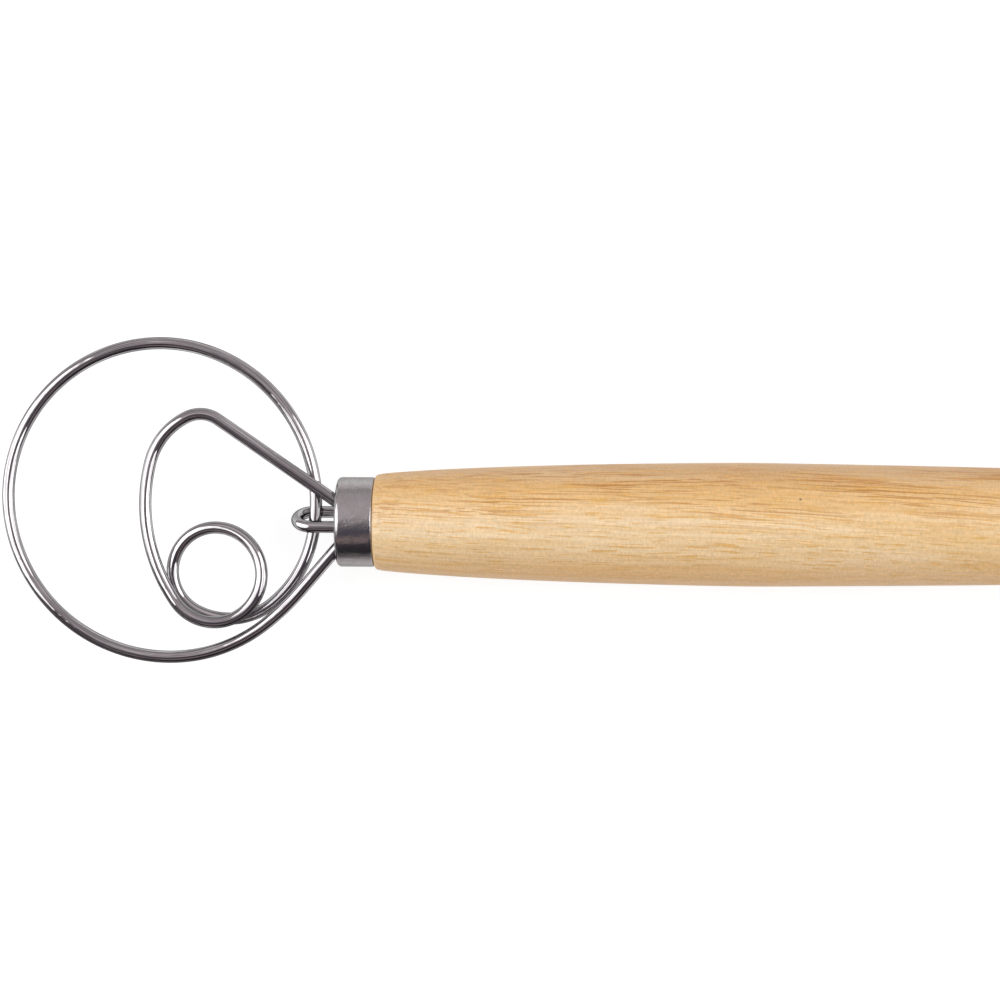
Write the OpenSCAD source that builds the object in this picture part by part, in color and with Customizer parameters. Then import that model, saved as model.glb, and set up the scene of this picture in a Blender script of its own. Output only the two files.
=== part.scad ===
// Dough whisk: a turned wooden handle, a drawn steel ferrule, and a head bent from one
// length of wire. The wire leaves the ferrule, goes once round as the big ring, makes a small
// coil inside it, rises round a teardrop and comes back over the ring into the ferrule.
// A hairpin of the same wire, the retaining eye, holds the ring where it passes the ferrule.
//
// All sizes are millimetres. X runs along the handle, with the head towards -X and the butt
// towards +X. Z is square to the flat head. The origin is the middle of the hanging hole.
// The plan sizes of the head are measured from the front face of the ferrule, at x = 0.

/* [Handle] */
// Length of the wood from its shoulder at the ferrule to its butt end
handle_len = 254.5; // [230:0.5:290]
// Diameter of the wood at its shoulder
shoulder_d = 21.6; // [20.8:0.1:23]
// Radius of the rounded edge of the shoulder
shoulder_round = 0.9; // [0.2:0.1:1.5]
// How steeply the wood swells behind the shoulder, as rise over run
neck_slope = 0.113; // [0.08:0.001:0.16]
// How far that first slope carries along the handle
neck_pull = 21; // [15:0.5:30]
// Diameter of the belly, the thickest place of the handle
belly_d = 27.8; // [26:0.1:31]
// Distance from the shoulder to the belly
belly_x = 84.5; // [75:0.5:100]
// How far the belly runs level towards the ferrule
belly_pull_front = 10.5; // [5:0.5:25]
// How far the belly runs level towards the butt
belly_pull_back = 5; // [3:0.5:30]
// Diameter at the end of the long taper, where the rounded butt starts
butt_d = 20.6; // [18:0.2:24]
// How steeply the taper ends at the butt, as fall over run
butt_slope = 0.036; // [0.02:0.001:0.05]
// How far back that last slope is felt
butt_pull = 78; // [60:1:90]
// Length of the rounded butt end
butt_round = 8; // [5:0.5:11]

/* [Hanging hole] */
// Diameter of the hole through the butt
hang_d = 6; // [4:0.5:8]
// Distance of the hole from the very end of the handle
hang_inset = 16; // [13:0.5:22]

/* [Ferrule] */
// Outer diameter of the steel cap
ferrule_d = 20.3; // [19.6:0.1:20.7]
// Length of the cap along the handle
ferrule_len = 8.5; // [7:0.5:12]
// Thickness of its sheet steel
ferrule_wall = 0.6; // [0.5:0.1:0.8]
// Outer radius where the wall turns into the closed front
ferrule_round = 1.1; // [0.9:0.1:1.5]
// Width of the small bevel round its open edge
ferrule_bevel = 0.2; // [0.1:0.1:0.3]

/* [Wire] */
// Diameter of the whisk wire
wire_d = 2.8; // [2.4:0.1:3]
// Air between the wire and itself where it passes over itself
cross_gap = 0.5; // [0.45:0.05:0.8]
// How far the lower leg lies in front of the end of the ring, which passes partly behind it
leg_lift = 2.4; // [2.3:0.1:3.2]
// How far both ends of the whisk wire go into the handle
leg_depth = 38; // [25:1:50]
// Height of the upper leg above the handle's middle line, inside the handle
upper_leg_y = 3.8; // [3.5:0.1:4.2]
// Distance of the lower leg below the handle's middle line, inside the handle
lower_leg_y = 5.1; // [4.8:0.1:5.4]
// Bend radius of both legs, which turn from slanted to straight in the mouths of their bores
leg_bend_r = 2; // [1.8:0.1:2.2]
// Distance from the front of the ferrule to where each leg starts to run straight
leg_bend_x = 1.6; // [1.5:0.1:2.4]
// Sides of the wire's cross-section
wire_sides = 12; // [8:2:16]
// How far the straight sides of a bend may stand off its true curve
bend_tolerance = 0.05; // [0.03:0.01:0.1]

/* [Big ring] */
// Distance from the ferrule to the wire's middle at the near side of the ring
ring_reach = 5.15; // [4.9:0.05:5.4]
// Height of the near side's bend centre above the handle's middle line
ring_rise = 4; // [3.8:0.05:4.4]
// Bend radius of the near side, which runs through the retaining eye
near_r = 36.5; // [36:0.1:37.5]
// How much tighter the ring is bent over the top and down the far side
top_tighter = 2; // [0.5:0.1:2.5]
// How much wider it is bent from the far side round to the bottom
bottom_wider = 0.7; // [0.3:0.1:1.2]
// How much tighter it is bent on the rising stretch between the bottom and the run-in
low_tighter = 1.4; // [0:0.1:2.5]
// Bend radius of the slack run-in after the straight lower leg
run_in_r = 56.5; // [45:0.5:65]
// Place round the ring where the near side hands over to the top, in degrees
near_to_top = 64; // [55:1:75]
// Place where the top hands over to the bottom
top_to_bottom = 191.5; // [180:0.5:200]
// Place where the bottom hands over to the rising stretch
bottom_to_low = 272; // [265:0.5:280]
// How long before the lower leg points straight at the ring it hands over to the run-in
run_in_lead = 10.2; // [6:0.2:12]
// Place on the near side, below the middle, where the wire turns inwards to the coil
ring_end = 14.5; // [10:0.5:18]

/* [Coil] */
// Air between the coil and the near side of the ring, level with the coil's middle
coil_air = 5.6; // [5:0.1:7]
// Distance of the coil's centre below the handle's middle line
coil_y = 11.5; // [11:0.1:12]
// Bend radius of the first part of the turn
coil_in_r = 10; // [9:0.1:10.5]
// Bend radius of the rest of the turn, which lies over the first
coil_out_r = 10.7; // [10.7:0.1:11.5]
// Bend radius of the stretch that leads from the ring into the coil
lead_in_r = 15.8; // [14:0.1:17]
// Place round the coil where the lead-in ends, in degrees
lead_in_end = 241.5; // [236:0.5:250]
// Place round the coil where its radius grows, near its top
coil_step = 85; // [70:1:100]
// Place round the coil where the wire leaves it for the teardrop
coil_end = 215; // [208:0.5:220]
// Part of the turn over which the wire climbs from the back level to the front level
climb_turn = 280; // [260:5:285]

/* [Teardrop] */
// Bend radius of the long far side of the teardrop
side_r = 39; // [35:0.1:43]
// Bend radius of the shoulder above it
shoulder_r = 15.5; // [14:0.1:17]
// Bend radius of the tight nose at the top
nose_r = 7; // [6:0.1:8]
// Place where the far side hands over to the shoulder, in degrees
side_to_shoulder = 166.5; // [163:0.5:169]
// Place where the shoulder hands over to the nose
shoulder_to_nose = 116; // [110:1:122]

/* [Retaining eye] */
// Diameter of the eye's wire
eye_wire_d = 2.7; // [2.4:0.1:2.8]
// Distance between the middles of its two legs
eye_span = 7.1; // [7:0.1:7.5]
// Height of its middle above the handle's middle line, seen in plan
eye_y = 0.5; // [0:0.1:1]
// Lean of the eye away from upright, in degrees
eye_lean = 28; // [20:1:32]
// Distance from its bend's centre to the ring wire that it holds
eye_slack = 0.55; // [0.3:0.05:0.8]
// How far its legs go into the handle
eye_depth = 26; // [18:1:34]

/* [Fits] */
// Clearance round each leg in its bore in the wood
bore_gap = 0.1; // [0.1:0.01:0.15]
// Clearance round each leg in its hole in the ferrule
hole_gap = 0.1; // [0.1:0.01:0.2]
// Clearance between the ferrule and the wood, all round and end to end
seat_gap = 0.05; // [0.03:0.01:0.1]
// Spare depth of each bore past the end of its leg
bore_spare = 1; // [0.5:0.5:2]

/* [Hidden] */
wood = "#dcb67e";
bright_steel = "#c9ccd0";
satin_steel = "#8e8b8c";

// Round faces of the turned and drilled pieces
$fn = 96;
profile_steps = 16;
corner_steps = 6;
overcut = 1;
full_turn = 360;

wire_r = wire_d / 2;
// The wire ends the ring behind the handle's middle and ends the coil as far in front of it
front_z = (wire_d + cross_gap) / 2;
back_z = -front_z;
leg_z = back_z + leg_lift;

ferrule_r = ferrule_d / 2;
tenon_r = ferrule_r - ferrule_wall - seat_gap;
tenon_x = ferrule_wall + seat_gap;
shoulder_x = ferrule_len + seat_gap;
butt_x = shoulder_x + handle_len;
hang_x = butt_x - hang_inset;

function on_circle(c, a) = [c[0] + c[2] * cos(a), c[1] + c[2] * sin(a)];

// A circle [x, y, r] of radius r that touches circle c from the inside or outside at the
// place a, so a bend can change its radius there without a kink
function carry_on(c, a, r) = [c[0] + (c[2] - r) * cos(a), c[1] + (c[2] - r) * sin(a), r];

// The circle that touches circle c at the place a and also encloses the smaller circle s
function joining(c, a, s) =
    let (p = on_circle(c, a),
         inward = [-cos(a), -sin(a)],
         v = p - [s[0], s[1]],
         r = (s[2] * s[2] - v * v) / (2 * (v * inward + s[2])))
    [p[0] + r * inward[0], p[1] + r * inward[1], r];

// Angle of the straight that leaves circle a on one side and meets circle b on the other
function crossing_angle(a, b, side) =
    let (d = [b[0] - a[0], b[1] - a[1]])
    atan2(d[1], d[0]) + side * asin((a[2] + b[2]) / norm(d));

// Big ring, worked out backwards from its near side, which the eye fixes
near_ring = [-ring_reach - near_r, ring_rise, near_r];
top_ring = carry_on(near_ring, near_to_top, near_r - top_tighter);
bottom_ring = carry_on(top_ring, top_to_bottom, near_r + bottom_wider);
low_ring = carry_on(bottom_ring, bottom_to_low, near_r - low_tighter);
lower_bend = [leg_bend_x, -lower_leg_y - leg_bend_r, leg_bend_r];
low_to_run_in = crossing_angle(lower_bend, low_ring, 1) + 90 - run_in_lead;
run_in = carry_on(low_ring, low_to_run_in, run_in_r);
lower_heading = crossing_angle(lower_bend, run_in, 1);
lower_lean = lower_heading - 180;

// Coil and teardrop, worked out forwards from the centre of the coil
ring_beside_coil = near_ring[0] + sqrt(near_r * near_r - pow(coil_y + ring_rise, 2));
coil_x = ring_beside_coil - wire_d - coil_air - coil_out_r;
coil_in = [coil_x, -coil_y, coil_in_r];
lead_in = carry_on(coil_in, lead_in_end, lead_in_r);
ring_join = joining(near_ring, -ring_end, lead_in);
join_end = atan2(lead_in[1] - ring_join[1], lead_in[0] - ring_join[0]);
coil_out = carry_on(coil_in, coil_step, coil_out_r);
drop_side = carry_on(coil_out, coil_end, side_r);
drop_shoulder = carry_on(drop_side, side_to_shoulder, shoulder_r);
drop_nose = carry_on(drop_shoulder, shoulder_to_nose, nose_r);
upper_bend = [leg_bend_x, upper_leg_y + leg_bend_r, leg_bend_r];
upper_heading = crossing_angle(drop_nose, upper_bend, -1);

// The bends in the order of the wire, each with the places where it starts and ends.
// The wire turns clockwise all the way from the run-in to the nose, so the places only fall,
// by two turns and most of a third.
bends = [
    [run_in, lower_heading - 270, low_to_run_in - full_turn],
    [low_ring, low_to_run_in - full_turn, bottom_to_low - full_turn],
    [bottom_ring, bottom_to_low - full_turn, top_to_bottom - full_turn],
    [top_ring, top_to_bottom - full_turn, near_to_top - full_turn],
    [near_ring, near_to_top - full_turn, -ring_end - full_turn],
    [ring_join, -ring_end - full_turn, join_end - full_turn],
    [lead_in, join_end - full_turn, lead_in_end - 2 * full_turn],
    [coil_in, lead_in_end - 2 * full_turn, coil_step - 2 * full_turn],
    [coil_out, coil_step - 2 * full_turn, coil_end - 3 * full_turn],
    [drop_side, coil_end - 3 * full_turn, side_to_shoulder - 3 * full_turn],
    [drop_shoulder, side_to_shoulder - 3 * full_turn, shoulder_to_nose - 3 * full_turn],
    [drop_nose, shoulder_to_nose - 3 * full_turn, upper_heading + 90 - 3 * full_turn]
];

// Height of the wire at a place: it falls gently round the ring to the back level, so that
// it passes behind the teardrop's leg, and climbs to the front level round the coil
fall_start = lower_heading - 270;
fall_end = -full_turn;
climb_start = lead_in_end - 2 * full_turn;
function ease(t) = t * t * (3 - 2 * t);
function share(place, start, end) = ease(min(1, max(0, (start - place) / (start - end))));
function height_at(place) =
    leg_z + (back_z - leg_z) * share(place, fall_start, fall_end) +
    (front_z - back_z) * share(place, climb_start, climb_start - climb_turn);

// Number of straight steps that keep an arc within the bend tolerance
function arc_steps(r, turn) = ceil(abs(turn) / (2 * acos(1 - bend_tolerance / r)));
function arc_places(r, from, to) =
    let (n = arc_steps(r, to - from))
    [for (i = [0 : n]) from + (to - from) * i / n];

function level_arc(c, from, to, z) =
    [for (a = arc_places(c[2], from, to)) let (p = on_circle(c, a)) [p[0], p[1], z]];
function climbing_arc(b) =
    [for (a = arc_places(b[0][2], b[1], b[2]))
        let (p = on_circle(b[0], a)) [p[0], p[1], height_at(a)]];

// A bend starts where the one before ends, so its first point is left out
function rest(points) = [for (i = [1 : len(points) - 1]) points[i]];

wire_route = concat(
    [[leg_depth, -lower_leg_y, leg_z]],
    level_arc(lower_bend, 90, lower_lean + 90, leg_z),
    climbing_arc(bends[0]),
    [for (i = [1 : len(bends) - 1]) each rest(climbing_arc(bends[i]))],
    level_arc(upper_bend, upper_heading - 90, -90, front_z),
    [[leg_depth, upper_leg_y, front_z]]
);

function unit(v) = v / norm(v);

// Direction of the route at point i, halfway between the steps before and after it
function direction(route, i) =
    let (last = len(route) - 1,
         before = i > 0 ? unit(route[i] - route[i - 1]) : [0, 0, 0],
         after = i < last ? unit(route[i + 1] - route[i]) : [0, 0, 0])
    unit(before + after);

// Corners of the wire's cross-section at point i, square to the route there
function section(route, i, r, sides) =
    let (along = direction(route, i),
         across = unit(cross([0, 0, 1], along)),
         up = cross(along, across))
    [for (k = [0 : sides - 1])
        let (a = full_turn * k / sides)
        route[i] + r * (cos(a) * across + sin(a) * up)];

// One unbroken tube along a route
module tube(route, r, sides) {
    last = len(route) - 1;
    corners = [for (i = [0 : last]) each section(route, i, r, sides)];
    start_cap = [[for (k = [0 : sides - 1]) k]];
    end_cap = [[for (k = [sides - 1 : -1 : 0]) last * sides + k]];
    skin = [for (i = [0 : last - 1], k = [0 : sides - 1])
        let (a = i * sides + k,
             b = i * sides + (k + 1) % sides,
             c = a + sides,
             d = b + sides)
        each [[a, c, d], [a, d, b]]];
    polyhedron(points = corners, faces = concat(start_cap, skin, end_cap), convexity = 10);
}

// Least air between the wire and itself, measured on points spaced along the route. Points
// closer than near_skip along the wire are neighbours in one bend and aren't compared.
measure_step = 0.8;
near_skip = 12;
fine_route = [for (i = [0 : len(wire_route) - 2])
    let (a = wire_route[i],
         b = wire_route[i + 1],
         n = ceil(norm(b - a) / measure_step))
    each [for (k = [0 : n - 1]) a + (b - a) * k / n]];
outside = [for (p = fine_route) if (p[0] < 0) p];
skip_count = ceil(near_skip / (measure_step / 2));
least_spacing = min([for (i = [0 : len(outside) - 1 - skip_count])
    min([for (j = [i + skip_count : len(outside) - 1]) norm(outside[i] - outside[j])])]);
function route_length(route) =
    [for (i = [1 : len(route) - 1]) norm(route[i] - route[i - 1])] *
    [for (i = [1 : len(route) - 1]) 1];

// Retaining eye: its bend's centre lies just behind the ring wire where that wire crosses
// the eye's middle
eye_r = eye_wire_d / 2;
eye_bend_r = eye_span / 2;
ring_cross_x = near_ring[0] + sqrt(near_r * near_r - pow(eye_y - ring_rise, 2));
eye_x = ring_cross_x - eye_slack;
eye_z = back_z;
eye_leg_len = eye_depth - eye_x;
eye_turn = 90 + eye_lean;
eye_front_leg = [eye_y + eye_bend_r * cos(eye_turn), eye_z + eye_bend_r * sin(eye_turn)];
eye_back_leg = [eye_y - eye_bend_r * cos(eye_turn), eye_z - eye_bend_r * sin(eye_turn)];
eye_legs = [eye_front_leg, eye_back_leg];

// Both legs of the whisk wire, as [y, z, lean]: the place of the straight run in the handle,
// and the angle in plan at which the slanted run leaves the ferrule
wire_legs = [
    [upper_leg_y, front_z, upper_heading],
    [-lower_leg_y, leg_z, lower_lean]
];

// Where the middle lines of a leg's slanted and straight runs would meet in a corner
function corner_x(leg) = leg_bend_x - leg_bend_r * tan(abs(leg[2]) / 2);

// Length of the slanted drill from that corner, far enough to clear the ferrule's front
slant_len = 3 * wire_d;

echo(least_gap_of_the_wire_to_itself = least_spacing - wire_d);
echo(length_of_the_wire = route_length(wire_route));
echo(overall_length = butt_x + wire_r - min([for (p = wire_route) p[0]]));

// Turns a profile of [radius, x] corners about the handle's axis
module turned(corners) {
    rotate([0, 90, 0]) rotate_extrude() polygon(corners);
}

// A hole or rod of radius r along X, at a place [y, z], from x = from to x = to
module along_x(place, r, from, to) {
    translate([from, place[0], place[1]]) rotate([0, 90, 0]) cylinder(r = r, h = to - from);
}

// Puts a shape at a leg's corner and turns it from +Z to the way out along the slanted run
module at_corner(leg) {
    translate([corner_x(leg), leg[0], leg[1]]) rotate([0, -90, leg[2]]) children();
}

// The frame of the whole whisk, with its origin in the hanging hole
module in_place() {
    translate([-hang_x, 0, 0]) children();
}

function bezier(p, t) =
    pow(1 - t, 3) * p[0] + 3 * pow(1 - t, 2) * t * p[1] +
    3 * (1 - t) * t * t * p[2] + pow(t, 3) * p[3];
function bezier_corners(p, first) =
    [for (i = [first : profile_steps]) bezier(p, i / profile_steps)];

// The handle's outline from its shoulder to the belly and on to the butt, as [radius, x]
shoulder_r_wood = shoulder_d / 2;
belly_r = belly_d / 2;
butt_r = butt_d / 2;
belly_at = shoulder_x + belly_x;
taper_end = butt_x - butt_round;
swell = [
    [shoulder_r_wood, shoulder_x],
    [shoulder_r_wood + neck_slope * neck_pull, shoulder_x + neck_pull],
    [belly_r, belly_at - belly_pull_front],
    [belly_r, belly_at]
];
taper = [
    [belly_r, belly_at],
    [belly_r, belly_at + belly_pull_back],
    [butt_r + butt_slope * butt_pull, taper_end - butt_pull],
    [butt_r, taper_end]
];
round_shoulder = [for (i = [0 : corner_steps])
    let (a = 90 * i / corner_steps)
    [shoulder_r_wood - shoulder_round * (1 - sin(a)),
     shoulder_x + shoulder_round * (1 - cos(a))]];
round_butt = [for (i = [1 : profile_steps])
    let (a = 90 * i / profile_steps)
    [butt_r * cos(a), taper_end + butt_round * sin(a)]];
handle_outline = concat(
    [[0, tenon_x], [tenon_r, tenon_x], [tenon_r, shoulder_x]],
    round_shoulder,
    [for (p = bezier_corners(swell, 1)) if (p[1] > shoulder_x + shoulder_round) p],
    bezier_corners(taper, 1),
    round_butt
);

// Turned wooden handle: tenon for the ferrule, four blind bores for the wire legs and the
// hanging hole through its butt. The mouths of two bores slant, as the wire leaves them.
module handle() {
    color(wood) in_place() difference() {
        turned(handle_outline);
        for (leg = wire_legs) {
            along_x(leg, wire_r + bore_gap, corner_x(leg), leg_depth + bore_spare);
            at_corner(leg) sphere(r = wire_r + bore_gap);
            at_corner(leg) cylinder(r = wire_r + bore_gap, h = slant_len);
        }
        for (leg = eye_legs)
            along_x(leg, eye_r + bore_gap, tenon_x - overcut, eye_depth + bore_spare);
        translate([hang_x, 0, 0]) cylinder(d = hang_d, h = belly_d + overcut, center = true);
    }
}

// Drawn steel cap over the tenon, closed at the front but for four holes. Two of them slant.
ferrule_outline = concat(
    [[0, ferrule_wall], [0, 0]],
    [for (i = [0 : corner_steps])
        let (a = 90 * i / corner_steps)
        [ferrule_r - ferrule_round * (1 - sin(a)), ferrule_round * (1 - cos(a))]],
    [[ferrule_r, ferrule_len - ferrule_bevel],
     [ferrule_r - ferrule_bevel, ferrule_len],
     [ferrule_r - ferrule_wall, ferrule_len],
     [ferrule_r - ferrule_wall, ferrule_wall]]
);

module ferrule() {
    color(satin_steel) in_place() difference() {
        turned(ferrule_outline);
        for (leg = wire_legs)
            at_corner(leg) cylinder(r = wire_r + hole_gap, h = 2 * slant_len, center = true);
        for (leg = eye_legs)
            along_x(leg, eye_r + hole_gap, -overcut, ferrule_wall + overcut);
    }
}

// The whole head, from one leg in the handle to the other
module whisk_wire() {
    color(bright_steel) in_place() tube(wire_route, wire_r, wire_sides);
}

// Hairpin that straddles the ring wire, with both legs in the handle
module retaining_eye() {
    color(bright_steel) in_place() translate([eye_x, eye_y, eye_z]) rotate([eye_turn, 0, 0]) {
        rotate([0, 0, 90]) rotate_extrude(angle = 180) translate([eye_bend_r, 0]) circle(r = eye_r);
        along_x([eye_bend_r, 0], eye_r, 0, eye_leg_len);
        along_x([-eye_bend_r, 0], eye_r, 0, eye_leg_len);
    }
}

handle();
ferrule();
whisk_wire();
retaining_eye();
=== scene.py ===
# %% [markdown]
# # A dough whisk in Blender
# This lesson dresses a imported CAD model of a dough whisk: a turned wooden handle, a drawn steel
# ferrule, one long bent wire and a small hairpin that holds it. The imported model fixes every
# size. Blender adds what a photograph of the real tool shows: wood grain, brushed steel,
# polished wire, soft edges and studio light.

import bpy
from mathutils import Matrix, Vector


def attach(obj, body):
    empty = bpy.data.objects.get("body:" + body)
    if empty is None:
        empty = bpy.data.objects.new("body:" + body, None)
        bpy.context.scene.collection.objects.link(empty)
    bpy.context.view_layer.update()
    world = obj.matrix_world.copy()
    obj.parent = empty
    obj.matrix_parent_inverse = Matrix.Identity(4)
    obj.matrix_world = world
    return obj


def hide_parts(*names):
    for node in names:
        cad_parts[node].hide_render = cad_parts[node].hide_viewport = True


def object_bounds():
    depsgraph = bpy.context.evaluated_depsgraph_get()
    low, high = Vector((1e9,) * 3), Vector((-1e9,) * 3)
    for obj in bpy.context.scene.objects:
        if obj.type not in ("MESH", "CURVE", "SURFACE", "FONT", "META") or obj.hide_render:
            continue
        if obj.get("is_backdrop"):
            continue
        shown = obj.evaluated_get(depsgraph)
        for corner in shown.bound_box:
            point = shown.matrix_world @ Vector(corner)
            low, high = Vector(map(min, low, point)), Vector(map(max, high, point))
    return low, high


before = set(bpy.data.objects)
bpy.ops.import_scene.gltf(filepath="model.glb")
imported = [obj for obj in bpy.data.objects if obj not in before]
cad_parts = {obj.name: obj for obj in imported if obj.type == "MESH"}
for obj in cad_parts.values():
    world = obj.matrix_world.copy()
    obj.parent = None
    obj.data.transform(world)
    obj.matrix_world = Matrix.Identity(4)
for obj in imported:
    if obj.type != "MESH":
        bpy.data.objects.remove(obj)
cad_low, cad_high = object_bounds()
print("CAD box in metres:", [round(v, 4) for v in (*cad_low, *cad_high)])

# %% [markdown]
# ## Sizes
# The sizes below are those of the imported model, in millimetres, measured along the handle from
# the front face of the ferrule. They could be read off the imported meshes, but those are made of
# flat facets. Working from the sizes instead lets each curve be as smooth as the render needs.

# %% Sizes of the whisk, in millimetres
import math

MM = 0.001
HANG_X = 247.05
HANDLE_LEN, SHOULDER_D, SHOULDER_ROUND = 254.5, 21.6, 0.9
NECK_SLOPE, NECK_PULL = 0.113, 21.0
BELLY_D, BELLY_X, BELLY_PULL_FRONT, BELLY_PULL_BACK = 27.8, 84.5, 10.5, 5.0
BUTT_D, BUTT_SLOPE, BUTT_PULL, BUTT_ROUND = 20.6, 0.036, 78.0, 8.0
HANG_D = 6.0
FERRULE_D, FERRULE_LEN, FERRULE_WALL = 20.3, 8.5, 0.6
FERRULE_ROUND = 1.1
WIRE_R, CROSS_GAP, LEG_LIFT, LEG_DEPTH = 1.4, 0.5, 2.4, 38.0
UPPER_LEG_Y, LOWER_LEG_Y, LEG_BEND_R, LEG_BEND_X = 3.8, 5.1, 2.0, 1.6
EYE_WIRE_R, EYE_SPAN, EYE_Y, EYE_LEAN = 1.35, 7.1, 0.5, 28.0
EYE_SLACK, EYE_DEPTH = 0.55, 26.0
BORE_GAP, HOLE_GAP, SEAT_GAP, BORE_SPARE = 0.1, 0.1, 0.05, 1.0
BORE_LEAD, PUNCH_REACH, SLANT_REACH = 1.0, 3.5, 8.0

SHOULDER_X = FERRULE_LEN + SEAT_GAP
BUTT_X = SHOULDER_X + HANDLE_LEN
FRONT_Z = WIRE_R + CROSS_GAP / 2
BACK_Z = -FRONT_Z
LEG_Z = BACK_Z + LEG_LIFT
print("whole whisk, ferrule to butt:", BUTT_X, "mm")

# %% [markdown]
# ## Helpers for meshes
# Every piece here is either swept along a path or turned about an axis, as the real ones are
# drawn, bent and turned. Blender's own curve and screw tools could do both, but short mesh code
# gives full control over where each ring of corners goes, and over the texture coordinates that
# let scratches follow a bent wire.

# %% Turning lists of corners into Blender objects
import bpy

WIRE_SHARP, CUT_SHARP = 50, 35


def in_place(point):
    """A point in millimetres from the ferrule's front face, in metres from the hanging hole."""
    return ((point[0] - HANG_X) * MM, point[1] * MM, point[2] * MM)


def make_object(name, corners, faces, uvs=None):
    mesh = bpy.data.meshes.new(name)
    mesh.from_pydata([in_place(c) for c in corners], [], faces)
    if uvs:
        layer = mesh.uv_layers.new(name="along_and_around")
        for loop, uv in enumerate(uvs):
            layer.data[loop].uv = uv
    mesh.update()
    made = bpy.data.objects.new(name, mesh)
    bpy.context.scene.collection.objects.link(made)
    return made


def angles(turn, steps):
    """Even angles in radians, from nothing to a turn in degrees."""
    return [math.radians(turn * i / steps) for i in range(steps + 1)]


def smooth_but_sharp(piece, degrees):
    """Smooth shading, except across edges that turn by more than some degrees."""
    piece.data.shade_smooth()
    piece.data.set_sharp_from_angle(angle=math.radians(degrees))


# %% [markdown]
# ## A tube along a path
# A wire is a circle swept along a path. At each point the circle must stand square to the path,
# and it must not spin between one point and the next, or the reflections would twist. Carrying
# one direction along, and only straightening it at each step, keeps the spin out.

# %% Sweeping a round wire along a path
from mathutils import Vector

WIRE_SIDES = 32


def sweep(name, path, radius, sides=WIRE_SIDES, end_round=0.35):
    """A closed tube along a path, with its ends slightly rounded as a cropped wire's are."""
    points = [Vector(p) for p in path]
    start_way = (points[1] - points[0]).normalized()
    end_way = (points[-1] - points[-2]).normalized()
    lead = [(points[0], radius - end_round), (points[0] + start_way * end_round, radius)]
    tail = [(points[-1] - end_way * end_round, radius), (points[-1], radius - end_round)]
    stations = lead + [(p, radius) for p in points[1:-1]] + tail
    across = Vector((0, 0, 1)).cross(start_way).normalized()
    corners, lengths, travelled = [], [], 0.0
    for i, (place, r) in enumerate(stations):
        before = stations[max(i - 1, 0)][0]
        after = stations[min(i + 1, len(stations) - 1)][0]
        way = (after - before).normalized()
        across = (across - way * across.dot(way)).normalized()
        up = way.cross(across)
        travelled += (place - before).length
        lengths.append(travelled)
        for k in range(sides):
            a = math.tau * k / sides
            corners.append(place + r * (math.cos(a) * across + math.sin(a) * up))
    faces, uvs = [], []
    for i in range(len(stations) - 1):
        for k in range(sides):
            a, b = i * sides + k, i * sides + (k + 1) % sides
            faces.append((a, a + sides, b + sides, b))
            u0, u1 = lengths[i] * MM, lengths[i + 1] * MM
            v0, v1 = k / sides, (k + 1) / sides
            uvs += [(u0, v0), (u1, v0), (u1, v1), (u0, v1)]
    last = (len(stations) - 1) * sides
    faces.append(tuple(range(sides)))
    faces.append(tuple(last + k for k in reversed(range(sides))))
    uvs += [(0, k / sides) for k in range(2 * sides)]
    made = make_object(name, corners, faces, uvs)
    smooth_but_sharp(made, WIRE_SHARP)
    print(name, "is", round(travelled, 1), "mm long, with", len(faces), "faces")
    return made


# %% [markdown]
# ## The route of the whisk wire
# On the real tool one length of wire makes the whole head. It leaves the ferrule low, goes once
# round as the big ring, passes through the hairpin, curls into a small coil, rises round a
# teardrop and runs straight back over the ring. A wire bender makes this from arcs that flow
# into each other without a kink, so the route here is a chain of circles that touch.

# %% Circles that touch, and the places where they hand over
NEAR_R, RING_REACH, RING_RISE = 36.5, 5.15, 4.0
TOP_TIGHTER, BOTTOM_WIDER, LOW_TIGHTER, RUN_IN_R = 2.0, 0.7, 1.4, 56.5
NEAR_TO_TOP, TOP_TO_BOTTOM, BOTTOM_TO_LOW, RUN_IN_LEAD, RING_END = 64, 191.5, 272, 10.2, 14.5
COIL_AIR, COIL_Y, COIL_IN_R, COIL_OUT_R = 5.6, 11.5, 10.0, 10.7
LEAD_IN_R, LEAD_IN_END, COIL_STEP, COIL_END, CLIMB_TURN = 15.8, 241.5, 85, 215, 280
SIDE_R, BROW_R, NOSE_R, SIDE_TO_BROW, BROW_TO_NOSE = 39.0, 15.5, 7.0, 166.5, 116


def direction(degrees):
    return Vector((math.cos(math.radians(degrees)), math.sin(math.radians(degrees))))


def carry_on(circle, place, radius):
    """The circle of another radius that touches this one at a place, so no kink is left."""
    middle, old_radius = circle
    return (middle + (old_radius - radius) * direction(place), radius)


def joining(circle, place, inner):
    """The circle that touches one circle at a place and also goes round a smaller one."""
    start = circle[0] + circle[1] * direction(place)
    inward = -direction(place)
    away = start - inner[0]
    radius = (inner[1] ** 2 - away.dot(away)) / (2 * (away.dot(inward) + inner[1]))
    return (start + radius * inward, radius)


def heading_between(a, b, side):
    """Heading of the straight wire that leaves one bend and meets another across it."""
    d = b[0] - a[0]
    turn = math.degrees(math.asin((a[1] + b[1]) / d.length))
    return math.degrees(math.atan2(d.y, d.x)) + side * turn


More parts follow.
